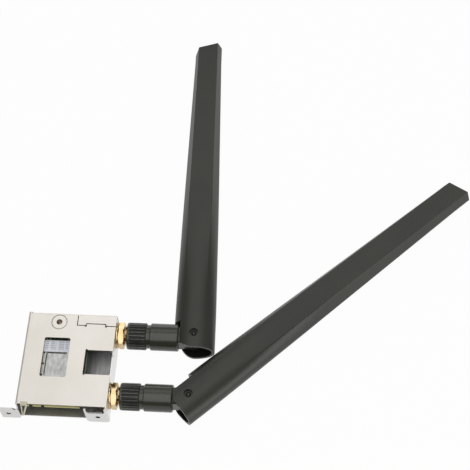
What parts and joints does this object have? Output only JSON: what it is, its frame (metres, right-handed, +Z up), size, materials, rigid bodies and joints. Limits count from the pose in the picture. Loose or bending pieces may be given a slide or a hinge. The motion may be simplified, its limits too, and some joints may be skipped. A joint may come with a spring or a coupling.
{
  "type": "wireless card module with two antennas",
  "caption": "Folded sheet-metal cage that holds an M.2 A and E key wireless card, with two bulkhead coaxial jacks and two fold-and-swivel paddle antennas.",
  "frame": {"origin": "middle of the cage's underside, which is the face it rests on", "axes": "+X along the jacks' axes, away from the cage; +Y from the card's contact edge to the cage's back; +Z up"},
  "size_m": [0.1586, 0.1572, 0.011],
  "materials": {
    "plated_sheet": "warm grey nickel plating, satin",
    "bright_steel": "bright machined steel",
    "can_metal": "satin tinned can",
    "gold_plate": "polished gold plating",
    "brass": "turned brass",
    "black_metal": "black plated, satin",
    "black_plastic": "moulded black, fine matt grain",
    "lead_jacket": "black smooth jacket",
    "lead_silver": "pale smooth jacket",
    "insulator": "white, waxy",
    "board": "solder-masked laminate",
    "radiator_board": "laminate with copper tracks",
    "chip": "moulded chip body",
    "small_parts": "ceramic with tinned ends",
    "label": "plain pale paper label"
  },
  "bodies": {
    "cage": {"cover": "plated_sheet", "tray": "plated_sheet", "clinch_nut": "plated_sheet", "card_screw": "bright_steel", "ground_spring": "bright_steel", "card_board": "board", "edge_contacts": "gold_plate", "shield_can": "can_metal", "radio_chip": "chip", "card_label": "label", "card_parts": "small_parts", "receptacle_rear": "gold_plate", "pigtail_plug_rear": "gold_plate", "pigtail_rear": "lead_jacket", "jack_rear": "gold_plate", "jack_insulator_rear": "insulator", "jack_pin_rear": "gold_plate", "crimp_sleeve_rear": "lead_jacket", "lock_washer_rear": "gold_plate", "hex_nut_rear": "gold_plate", "plug_body_rear": "brass", "snap_ring_rear": "bright_steel", "plug_insulator_rear": "insulator", "plug_contact_rear": "gold_plate", "receptacle_front": "gold_plate", "pigtail_plug_front": "gold_plate", "pigtail_front": "lead_jacket", "jack_front": "gold_plate", "jack_insulator_front": "insulator", "jack_pin_front": "gold_plate", "crimp_sleeve_front": "lead_jacket", "lock_washer_front": "gold_plate", "hex_nut_front": "gold_plate", "plug_body_front": "brass", "snap_ring_front": "bright_steel", "plug_insulator_front": "insulator", "plug_contact_front": "gold_plate"},
    "coupling_rear": {"coupling_nut_rear": "black_metal"},
    "barrel_rear": {"barrel_rear": "black_plastic", "barrel_lead_rear": "lead_silver"},
    "paddle_rear": {"paddle_rear": "black_plastic", "hinge_pin_rear": "black_metal", "radiator_rear": "radiator_board", "paddle_lead_rear": "lead_silver"},
    "coupling_front": {"coupling_nut_front": "black_metal"},
    "barrel_front": {"barrel_front": "black_plastic", "barrel_lead_front": "lead_silver"},
    "paddle_front": {"paddle_front": "black_plastic", "hinge_pin_front": "black_metal", "radiator_front": "radiator_board", "paddle_lead_front": "lead_silver"}
  },
  "joints": [
    {"name": "nut_spin_rear", "type": "hinge", "parent": "cage", "child": "coupling_rear", "pos_m": [0.0223, 0.0118, 0.00525], "axis": [1, 0, 0], "continuous": true},
    {"name": "swivel_rear", "type": "hinge", "parent": "cage", "child": "barrel_rear", "pos_m": [0.0312, 0.0118, 0.00525], "axis": [1, 0, 0], "range_deg": [-135, 135]},
    {"name": "fold_rear", "type": "hinge", "parent": "barrel_rear", "child": "paddle_rear", "pos_m": [0.0422, 0.0118, 0.00525], "axis": [0, 0, 1], "range_deg": [-50, 0]},
    {"name": "nut_spin_front", "type": "hinge", "parent": "cage", "child": "coupling_front", "pos_m": [0.0223, -0.0107, 0.00525], "axis": [1, 0, 0], "continuous": true},
    {"name": "swivel_front", "type": "hinge", "parent": "cage", "child": "barrel_front", "pos_m": [0.0312, -0.0107, 0.00525], "axis": [1, 0, 0], "continuous": true},
    {"name": "fold_front", "type": "hinge", "parent": "barrel_front", "child": "paddle_front", "pos_m": [0.0422, -0.0107, 0.00525], "axis": [0, 0, 1], "range_deg": [-43.1, 1.9]}
  ]
}
